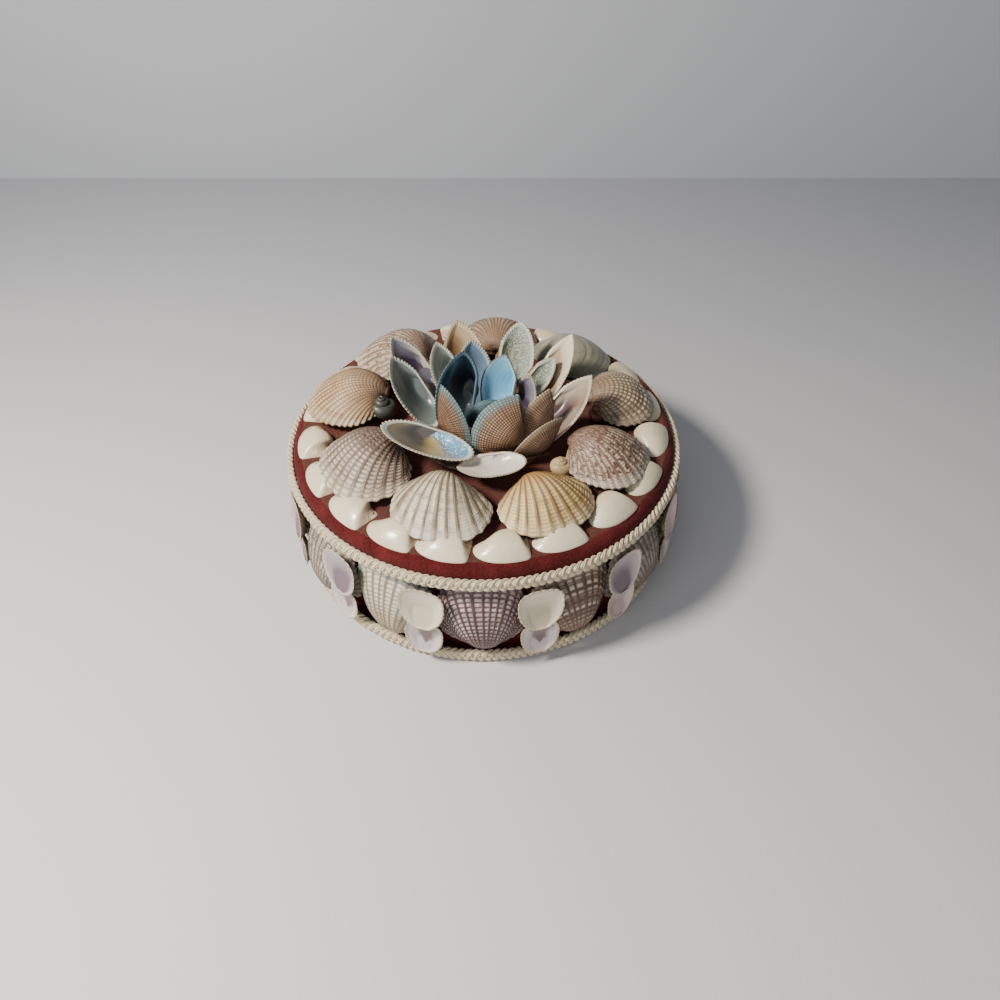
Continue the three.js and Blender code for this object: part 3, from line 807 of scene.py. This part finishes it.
# The side's shells from the front round to the right: the look of each ark, and of the upper and the lower
# small shell in the gap after it.
SIDE_SHELLS = [
    ("lattice", "white", "streaked"),
    ("barred", "lilac", "pink"),
    ("grey", "pink", "streaked"),
    ("cream", "lilac", "white"),
    ("tan", "white", "pink"),
    ("grey", "lilac", "streaked"),
    ("woven", "pink", "lilac"),
    ("flecked", "white", "streaked"),
    ("cream", "lilac", "white"),
    ("lattice", "white", "streaked"),
    ("tan", "pink", "pink"),
    ("cream", "lilac", "lilac"),
    ("grey", "lilac", "streaked"),
    ("bluish", "white", "streaked"),
]
SIDE_STEP = 360 / len(SIDE_SHELLS)
SIDE_ARK_BOTTOM = 6.7
# A gap's upper and lower small shell: width, and the radius and height of the hinge and of the margin.
SIDE_CUPS = [("upper", 14.8, (70, 17.8), (67.8, 35.4)), ("lower", 12.8, (69.8, 5.4), (68.4, 20.4))]
CROWD = 2.4  # degrees that the small shells at the sides lean towards the front

SNAILS = [  # azimuth, radius, width, height and colour
    (43.9, 35.4, 9.5, 6.5, "#b39a70"),
    (-94.6, 35, 12, 9, "#3a3b33"),
    (89.8, 37.8, 6.5, 9.5, "#7a4630"),
]
SNAIL_TURNS, SNAIL_GROWTH = 3.25, 6.5  # how often it winds, and how many times wider its tube gets
SNAIL_TUBE, SNAIL_COIL = 0.25, 0.26  # radius of the tube and of its coil at the mouth, as shares of the width
SNAIL_SIDES, SNAIL_STEPS = 20, 150


def outside_look(ribs, rib, rib2, groove, beak, **others):
    """How a ribbed outside looks: its colours, where they begin and end, and what differs from the usual."""
    look = dict(ribs=ribs, rib=rib, rib2=rib2, groove=groove, beak=beak, rim=rib, band=groove)
    look.update(rows=34, weave=0.35, rough=0.46, beak_at=(0.25, 0.6), beak_share=0.75)
    look.update(rim_at=(0.84, 0.97), rim_share=0.6, band_at=(0.5, 0.62), bands=0.35)
    look.update(spot_at=(0.54, 0.6), spot_share=0.85, spot_rows=26.0, spots_end=(0.9, 0.97))
    return {**look, **others}


def inside_look(floor, middle, rim, **others):
    """How an inside looks: its colours from the floor to the rim, and whatever else it has."""
    return {"floor": floor, "middle": middle, "rim": rim, "rough": 0.32, "glitter_at": (1.2, 0.9), **others}


# How the outsides of the ark shells look. high is the ribs' height.
ARK_LOOKS = {
    "speckled": outside_look(
        17, "#d9cfb8", "#cbbfa4", "#75654f", "#bfae90", high=0.8, rim="#ddd6c4", spot="#66584e",
        spot_share=0.6, spot_at=(0.6, 0.64), weave=0.22,
    ),
    "butter": outside_look(
        18, "#dac38c", "#cfb37a", "#7d603a", "#b8803f", high=0.8, beak_share=0.9, rim="#e2d4ac", rows=26,
        weave=0.32,
    ),
    "spotted": outside_look(
        28, "#c6b49e", "#b7a18c", "#6f5745", "#86685c", high=0.4, rim="#d9d0bc", spot="#54352e",
        spot_at=(0.51, 0.56), spot_rows=24.0, spot_share=0.95, weave=0.45,
    ),
    "banded": outside_look(
        26, "#cdc2a8", "#b8a88c", "#6e5a45", "#8a6250", high=0.35, band="#7b5a48", bands=0.75,
        band_at=(0.5, 0.58), rim="#cfc5ab", rows=18, weave=0.7,
    ),
    "plain": outside_look(
        0, "#9c9a86", "#8a8774", "#85826e", "#77725e", high=0, band="#545041", bands=0.6, rows=10,
        weave=0.2, rough=0.36,
    ),
    "woven": outside_look(
        28, "#b5a48a", "#a38d72", "#6a523b", "#9a7458", high=0.35, spot="#7d5b46", spot_share=0.6,
        weave=0.6,
    ),
    "flecked": outside_look(
        24, "#c6baa0", "#b5a68a", "#6f5c48", "#9c7a68", high=0.5, spot="#7a3b30", spot_at=(0.54, 0.58),
        spot_rows=22.0, spot_share=0.9, weave=0.45,
    ),
    "tan": outside_look(
        34, "#c9b08a", "#b69872", "#77583a", "#8a8078", high=0.3, band="#a1703f", rim="#cdbfa0", rows=30,
        weave=0.6,
    ),
    "plum": outside_look(
        22, "#cfc3ab", "#bfae95", "#5e4a40", "#3f2a2b", high=0.6, beak_at=(0.3, 0.85), rim="#d3c6ac",
        rows=24, weave=0.7, spot="#3a2423", spot_at=(0.5, 0.56), spot_share=0.9, spots_end=(0.45, 0.65),
    ),
    "lattice": outside_look(
        26, "#cdbfb6", "#b09a96", "#452c30", "#6b4440", high=0.42, rim="#9c8a8a", rows=22, weave=0.85,
        spot="#6a474a", spot_share=0.6, spot_at=(0.52, 0.6),
    ),
    "barred": outside_look(
        22, "#d6c9b0", "#c2ae94", "#5c4536", "#7d4c34", high=0.55, band="#5c3c30", bands=0.8,
        band_at=(0.5, 0.56), rows=18, weave=0.7,
    ),
    "bluish": outside_look(
        22, "#c9cdc4", "#d6c596", "#74726a", "#c2975a", high=0.6, beak_at=(0.4, 0.8), rim="#a3b3b8",
        rows=24, weave=0.6,
    ),
    "grey": outside_look(
        26, "#c6bdae", "#b3a696", "#62564a", "#8a7460", high=0.45, spot="#4c4038", spot_share=0.7,
        spot_at=(0.53, 0.6), weave=0.6,
    ),
    "cream": outside_look(24, "#d0c4aa", "#c2b293", "#7f6b50", "#b09468", high=0.5, weave=0.5),
}

# How the flower's shells look inside and outside, and then the small shells of the side.
PETAL_LOOKS = {
    "sand_blue": inside_look(
        "#47433e", "#6d6452", "#b3bdb2", end="#5d94b2", end_at=(0.4, 0.22), streak="#a08c58",
        streak_from=(0.28, 0.4), streak_to=(0.42, 0.6), glitter=0.55, glitter_at=(0.45, 0.25),
    ),
    "white": inside_look("#c4bcae", "#cfc7b9", "#d6cdb8", end="#7a6876", end_at=(0.14, 0.03)),
    "mauve": inside_look("#54403f", "#85715f", "#bfb399", end="#a0937e", end_at=(0.4, 0.15)),
    "cream": inside_look(
        "#a38e74", "#cfc3aa", "#dfd6c0", streak="#85694a", streak_from=(0.5, 0.6), streak_to=(0.68, 0.8),
    ),
    "pearl": inside_look("#70765f", "#8f9686", "#bfc3b0", glitter=0.3),
    "tan": inside_look("#74593c", "#a18562", "#bda985", end="#ae9c7c", end_at=(0.5, 0.85)),
    "sage": inside_look("#47504c", "#737c74", "#bfcabf"),
    "violet": inside_look(
        "#5a5560", "#85808a", "#b9bcb4", streak="#2c1c30", streak_from=(0.45, 0.55), streak_to=(0.68, 0.76),
        end="#a59a8c", end_at=(0.8, 0.95),
    ),
    "navy": inside_look("#0c131e", "#20364a", "#7fa3ad", end="#4a565c", end_at=(0.6, 0.2)),
    "slate": inside_look("#3f5164", "#6a8296", "#9db3bf"),
    "sky": inside_look(
        "#62a5cb", "#7fbbdb", "#a9cfe0", end="#4d3a34", end_at=(0.14, 0.06), glitter=0.6,
        glitter_at=(0.4, 0.15),
    ),
    "teal": inside_look("#2f4c54", "#4f7d88", "#8fbcbc"),
}
PETAL_BACKS = {
    "teal": outside_look(
        46, "#b08b68", "#9c7654", "#3d2a20", "#9a6a44", rows=24, weave=0.8, rim="#6f9698",
        rim_at=(0.78, 0.97), rim_share=0.95, bands=0.25,
    ),
    "tan": outside_look(
        46, "#b8977a", "#a5805f", "#4f3a2c", "#8f6a4c", rows=24, weave=0.7, rim="#cdbb9c", bands=0.3,
    ),
    "dusk": outside_look(
        46, "#54727c", "#46606c", "#27363e", "#3c4a50", rows=22, weave=0.5, rim="#6f9298", bands=0.3,
    ),
    "pale": outside_look(
        46, "#cdbb98", "#c09a66", "#6b5238", "#b07a4a", rows=22, weave=0.6, rim="#cfcbb8", rim_share=0.85,
        bands=0.3,
    ),
}
CUP_BACK = outside_look(24, "#cdbfa8", "#cdbfa8", "#85705a", "#a98a6a")
CUP_LOOKS = {
    "white": inside_look("#c6bb9c", "#d9cfb8", "#cfbf9f", rough=0.38),
    "lilac": inside_look("#6a5560", "#b0a1a2", "#c6b6a8"),
    "streaked": inside_look(
        "#bfb3b2", "#cfc5bf", "#c6b5a6", streak="#54383c", streak_from=(0.35, 0.45), streak_to=(0.6, 0.72),
    ),
    "pink": inside_look("#b39a92", "#cdb8b0", "#c9aca0"),
}


def finishes_of(make, prefix, looks, seed_step):
    """A finish for each look of a table."""
    named = enumerate(looks.items())
    return {key: make(f"{prefix}_{key}", look, seed_step * n) for n, (key, look) in named}


def ribbed(valve, look, **sizes):
    """A valve with a look's ribs on it."""
    ribs = {"ribs": look["ribs"], "rib": look["high"], "bead": 0.5 * look["weave"], "beads": look["rows"]}
    return {**valve, **ribs, **sizes}


def lid_ark_place(azimuth, radius, length):
    reach = length * math.cos(math.radians(ARK_TILT))
    rise = length * math.sin(math.radians(ARK_TILT))
    hinge = polar(azimuth, radius - reach / 2, LID_TOP + ARK_LIFT + rise)
    margin = polar(azimuth, radius + reach / 2, LID_TOP + ARK_LIFT)
    return pose(hinge, margin - hinge, UP)


def white_shell(name, azimuth, seed, glue):
    tint = WHITE_TINTS[seed % len(WHITE_TINTS)]
    finish = porcelain_finish(name + "_porcelain", seed * 1.7, tint)
    hinge = polar(azimuth, WHITE_RADIUS - WHITE["length"] / 2, LID_TOP)
    matrix = pose(hinge, polar(azimuth, 1, 0), UP)
    return dome(name, WHITE, matrix, seed, [finish, glue], rows=26)


def petal_place(foot, tip_point, width, hollow, hand):
    """A petal's frame, with the valve's hinge along one edge of the petal, and the petal's length."""
    start, end = np.array(foot, float), np.array(tip_point, float)
    long = end - start
    rise = math.radians(hollow[1])
    back = polar(hollow[0], -math.cos(rise), -math.sin(rise))
    across = unit(np.cross(back, long)) * hand
    facing = np.cross(long, across) * hand
    hinge = (start + end) / 2 - across * width / 2
    return pose(hinge, across, facing), np.linalg.norm(long)


def snail_finish(name, colour, seed):
    net = Net(name)
    around, along = net.chart()
    mottled = net.noise(net.vector(around * 3.0, along * 26.0, seed), 1.0, 4.0, 0.6)
    # painted shade: the tube's underside, where it tucks onto the whorl below, is darkened
    painted_seam_shade = 1 - (around + 0.25).wave().rise(0.02, 0.35)
    shade = net.mix(mottled.rise(0.38, 0.6), shaded(srgb(colour), 0.75), srgb(colour))
    shade = net.mix(painted_seam_shade * 0.8, shade, shaded(srgb(colour), 0.4))
    normal = net.bump(mottled, 0.0002, 0.6)
    return net.finish(Base_Color=shade, Roughness=0.5, Coat_Weight=0.15, Normal=normal)


def snail(name, azimuth, radius, size, tall, colour, seed):
    """A small coiled shell: a tube that widens as it winds down round its axis, its mouth closed."""
    run = np.linspace(0, 1, SNAIL_STEPS)
    scale = SNAIL_GROWTH ** (run - 1)
    tube, coil = SNAIL_TUBE * size * scale, SNAIL_COIL * size * scale
    foot = tube[-1] * 0.9
    height = (tall - foot) * (1 - scale) / (1 - scale[0]) + foot
    angle = TAU * SNAIL_TURNS * run[:, None]
    around = np.linspace(0, TAU, SNAIL_SIDES + 1)
    r = coil[:, None] + tube[:, None] * np.cos(around)
    z = height[:, None] + tube[:, None] * 1.15 * np.sin(around)
    points = np.stack([r * np.cos(angle), r * np.sin(angle), z], axis=2)
    apex, mouth = (np.tile(points[n, :-1].mean(axis=0), (1, len(around), 1)) for n in (0, -1))
    points = np.concatenate([apex, points, mouth])
    points[..., 2] = np.maximum(points[..., 2], 0)
    chart = chart_of(around / TAU, np.linspace(0, 1, len(points)))
    finish = snail_finish(name + "_finish", colour, seed)
    return grid_piece(name, points + polar(azimuth, radius, LID_TOP), chart, [finish])


# ---- The studio ----
# Places and sizes are metres here, as Blender's own are. The camera's lens and sensor are millimetres.
BOARD_SIZE = 6
TABLE_EDGE, WALL_SINK = 0.315, 0.012  # where the wall stands, and how far its foot goes below the table
FAR_PAINTED_SHADE = (0.5, 0.54, 0.62)  # painted shade on the table's far side, where the light falls off, as shares of its colour
FAR_START, FAR_END = -0.35, 0.32  # where that painted shade starts to show, and where it is all there is
WALL_TONE = srgb("#abaeb2")
SKY_TINT, SKY_STRENGTH = (0.8, 0.88, 1.0, 1), 0.3
KEY_PLACE, KEY_SIZE, KEY_TINT = (-0.3, -0.13, 0.41), 0.1, (1.0, 0.94, 0.86)
FILL_PLACE, FILL_SIZE, FILL_TINT = (-0.3, -0.6, 0.28), 0.6, (1, 1, 1)
LAMP_AIM = Vector((0, 0, 0.03))
CAMERA_PLACE, CAMERA_TILT = (0.0056, -0.2008, 0.2095), math.radians(44.7)
CAMERA_LENS, CAMERA_SENSOR, CAMERA_NEAR = 27.04, 36, 0.01


# ---- Sizes and colours a user would change ----
COLOUR = {"subtype": "COLOR", "size": 3}
POWER = {"unit": "POWER", "min": 0}


class ShellBoxColours(bpy.types.PropertyGroup):
    velvet: FloatVectorProperty(
        name="Velvet", description="Colour of the velvet", default=srgb("#5b1a19"), **COLOUR
    )
    stain: FloatVectorProperty(
        name="Glue stain", description="Colour of velvet browned by glue", default=srgb("#5c3a30"), **COLOUR
    )
    braid: FloatVectorProperty(
        name="Braid", description="Colour of the plaited trim", default=srgb("#dccba9"), **COLOUR
    )
    table: FloatVectorProperty(
        name="Table", description="Colour of the studio's floor", default=srgb("#d9d4cf"), **COLOUR
    )


class ShellBoxSizes(bpy.types.PropertyGroup):
    plaits: IntProperty(name="Plaits", description="Full plaits round each braid", default=60, min=8)
    key_light: FloatProperty(name="Key light", description="Power of the key light", default=5.0, **POWER)
    fill_light: FloatProperty(
        name="Fill light", description="Power of the fill light", default=2.2, **POWER
    )


# ---- Operators ----
class SHELLBOX_OT_box(bpy.types.Operator):
    """Builds the velvet body, the lid and the two plaited braids"""

    bl_idname = "shellbox.box"
    bl_label = "Box, lid and braids"

    def execute(self, context):
        colours, sizes = context.scene.shell_box_colours, context.scene.shell_box_sizes
        plain = velvet_finish("velvet", tuple(colours.velvet))
        stained = velvet_finish("velvet_stained", tuple(colours.velvet), tuple(colours.stain))
        trim = braid_finish("braid_cotton", tuple(colours.braid))
        settle(box_body(plain), ["box_body"])
        settle(lid_cap(plain, stained), ["lid"])
        for node, measures in BRAIDS.items():
            settle(braid(f"{node}_plait", *measures, sizes.plaits, trim), [node])
        return {"FINISHED"}


class SHELLBOX_OT_lid_arks(bpy.types.Operator):
    """Builds the nine ark shells on the lid and the small white shells round its edge"""

    bl_idname = "shellbox.lid_arks"
    bl_label = "Shells on the lid"

    def execute(self, context):
        glue = glue_finish("glue_under_shells")
        for n, (azimuth, radius, width, length, white, look_name) in enumerate(LID_ARKS, 1):
            node = f"lid_ark_{n}"
            look = ARK_LOOKS[look_name]
            valve = ribbed(ARK, look, width=width - 1, length=length)
            finish = ark_finish(f"{node}_{look_name}", look, n * 3.1)
            matrix = lid_ark_place(azimuth, radius, length)
            shell = dome(f"{node}_shell", valve, matrix, n, [finish, glue], bed=LID_TOP)
            settle(shell, [node])
            settle(white_shell(f"{node}_tucked", white, n, glue), [node])
        for n, azimuth in enumerate(GAP_WHITES, 1):
            shell = white_shell(f"rim_white_{n}_shell", azimuth, n + 20, glue)
            settle(shell, [f"rim_white_{n}"])
        return {"FINISHED"}


class SHELLBOX_OT_flower(bpy.types.Operator):
    """Builds the flower of open shells and the glue that holds it"""

    bl_idname = "shellbox.flower"
    bl_label = "Flower"

    def execute(self, context):
        outsides = finishes_of(ark_finish, "petal_back", PETAL_BACKS, 2.1)
        insides = finishes_of(inside_finish, "petal_inside", PETAL_LOOKS, 1.3)
        for n, (name, spec) in enumerate(PETALS.items()):
            foot, tip_point, width, hollow, hand, look, back, point = spec
            matrix, long = petal_place(foot, tip_point, width, hollow, hand)
            valve = {**PETAL, "width": long, "length": width, "hand": hand, "point": point}
            finishes = [outsides[back], insides[look]]
            piece = open_valve(f"petal_{name}_shell", valve, matrix, n + 50, finishes)
            settle(piece, [f"petal_{name}"])
        settle(glue_mound(glue_finish("flower_glue")), ["lid"])
        return {"FINISHED"}


class SHELLBOX_OT_snails(bpy.types.Operator):
    """Builds the three small coiled shells on the lid"""

    bl_idname = "shellbox.snails"
    bl_label = "Snails"

    def execute(self, context):
        for n, (azimuth, radius, size, tall, colour) in enumerate(SNAILS, 1):
            piece = snail(f"snail_{n}_shell", azimuth, radius, size, tall, colour, n)
            settle(piece, [f"snail_{n}"])
        return {"FINISHED"}


class SHELLBOX_OT_side(bpy.types.Operator):
    """Builds the ark shells round the side and the small open shells over their gaps"""

    bl_idname = "shellbox.side"
    bl_label = "Shells round the side"

    def execute(self, context):
        glue = glue_finish("glue_behind_shells")
        cup_back = ark_finish("small_shell_back", CUP_BACK, 7.0)
        insides = finishes_of(inside_finish, "small_shell", CUP_LOOKS, 2.0)
        for n, (look_name, *cup_looks) in enumerate(SIDE_SHELLS):
            node = f"side_ark_{n + 1}"
            look = ARK_LOOKS[look_name]
            finish = ark_finish(f"{node}_{look_name}", look, 40 + n * 2.3)
            hinge = polar(n * SIDE_STEP, WALL_RADIUS + GAP / 2, SIDE_ARK_BOTTOM)
            matrix = pose(hinge, UP, polar(n * SIDE_STEP, 1, 0))
            shell = dome(f"{node}_shell", ribbed(SIDE_ARK, look), matrix, 30 + n, [finish, glue])
            settle(shell, [node])
            gap = (n + 0.5) * SIDE_STEP
            lean = CROWD * math.cos(math.radians(gap)) * (1 if gap < 180 else -1)
            home = f"side_ark_{((n + 1) % len(SIDE_SHELLS) if lean > 0 else n) + 1}"
            for m, (cup_look, (which, width, low, high)) in enumerate(zip(cup_looks, SIDE_CUPS)):
                start, end = polar(gap + lean, *low), polar(gap + lean, *high)
                matrix = pose(start, end - start, polar(gap + lean, -1, 0))
                valve = {**CUP, "width": width, "length": np.linalg.norm(end - start)}
                finishes = [cup_back, insides[cup_look]]
                name, seed = f"side_cup_{n + 1}_{which}", 80 + 2 * n + m
                settle(open_valve(name, valve, matrix, seed, finishes, rows=24), [home])
        return {"FINISHED"}


class SHELLBOX_OT_stage(bpy.types.Operator):
    """Sets the floor, the wall, the lights and the camera"""

    bl_idname = "shellbox.stage"
    bl_label = "Studio"

    def execute(self, context):
        scene = context.scene
        colours, sizes = scene.shell_box_colours, scene.shell_box_sizes
        tone = tuple(colours.table)
        self.board("table", (0, 0, 0), (0, 0, 0), tone, tuple(f * c for f, c in zip(FAR_PAINTED_SHADE, tone)))
        wall_place = (0, TABLE_EDGE, BOARD_SIZE / 2 - WALL_SINK)
        self.board("wall", wall_place, (math.radians(90), 0, 0), WALL_TONE, WALL_TONE)
        world = scene.world or bpy.data.worlds.new("studio")
        scene.world = world
        world.use_nodes = True
        sky = world.node_tree.nodes.get("Background")
        sky.inputs["Color"].default_value = SKY_TINT
        sky.inputs["Strength"].default_value = SKY_STRENGTH
        self.lamp("key", KEY_PLACE, KEY_SIZE, sizes.key_light, KEY_TINT)
        self.lamp("fill", FILL_PLACE, FILL_SIZE, sizes.fill_light, FILL_TINT)
        camera = bpy.data.objects.new("camera", bpy.data.cameras.new("camera"))
        scene.collection.objects.link(camera)
        camera.location = CAMERA_PLACE
        camera.rotation_euler = (CAMERA_TILT, 0, 0)
        camera.data.lens = CAMERA_LENS
        camera.data.sensor_width = CAMERA_SENSOR
        camera.data.clip_start = CAMERA_NEAR
        scene.camera = camera
        return {"FINISHED"}

    def board(self, name, place, turn, near, far):
        """A wide plain surface whose colour goes over from near to far towards the back: painted shade on the
        table.
        """
        net = Net(name)
        spot = net.place()
        back = net.node("SeparateXYZ", None, [spot], out=1).rise(FAR_START, FAR_END)
        faint = net.noise(spot, 14.0, 4.0, 0.6)
        # painted shade: the far colour darkens and cools the table towards the back, where the light falls
        # off
        shade = net.mix(back, near, far)
        shade = net.mix(faint * 0.12, shade, shaded(near, 0.8))
        normal = net.bump(net.noise(spot, 900.0, 2.0, 0.5), 0.0002, 0.3)
        finish = net.finish(Base_Color=shade, Roughness=0.55, Specular_IOR_Level=0.3, Normal=normal)
        deselect()
        bpy.ops.mesh.primitive_plane_add(size=BOARD_SIZE, location=place, rotation=turn)
        made = bpy.context.object
        made.name = name
        made.data.materials.append(finish)

    def lamp(self, name, place, size, power, tint):
        data = bpy.data.lights.new(name, "AREA")
        data.shape = "DISK"
        data.size, data.energy = size, power
        data.color = tint
        lamp = bpy.data.objects.new(name, data)
        bpy.context.scene.collection.objects.link(lamp)
        lamp.location = place
        lamp.rotation_euler = (LAMP_AIM - Vector(place)).to_track_quat("-Z", "Y").to_euler()


class SHELLBOX_PT_panel(bpy.types.Panel):
    """Lists the steps that build the shell box"""

    bl_idname = "SHELLBOX_PT_panel"
    bl_label = "Shell Box"
    bl_space_type = "VIEW_3D"
    bl_region_type = "UI"
    bl_category = "Shell Box"

    def draw(self, context):
        for group in (context.scene.shell_box_sizes, context.scene.shell_box_colours):
            for key in group.__annotations__:
                self.layout.prop(group, key)
        for operator in OPERATORS:
            self.layout.operator(operator.bl_idname)


OPERATORS = (
    SHELLBOX_OT_box,
    SHELLBOX_OT_lid_arks,
    SHELLBOX_OT_flower,
    SHELLBOX_OT_snails,
    SHELLBOX_OT_side,
    SHELLBOX_OT_stage,
)
CLASSES = (ShellBoxColours, ShellBoxSizes, *OPERATORS, SHELLBOX_PT_panel)


def register():
    for made in CLASSES:
        bpy.utils.register_class(made)
    bpy.types.Scene.shell_box_colours = PointerProperty(type=ShellBoxColours)
    bpy.types.Scene.shell_box_sizes = PointerProperty(type=ShellBoxSizes)


def unregister():
    del bpy.types.Scene.shell_box_sizes
    del bpy.types.Scene.shell_box_colours
    for made in reversed(CLASSES):
        bpy.utils.unregister_class(made)


def main():
    register()
    bpy.ops.shellbox.box()
    bpy.ops.shellbox.lid_arks()
    bpy.ops.shellbox.flower()
    bpy.ops.shellbox.snails()
    bpy.ops.shellbox.side()
    bpy.ops.shellbox.stage()


if __name__ == "__main__":
    main()
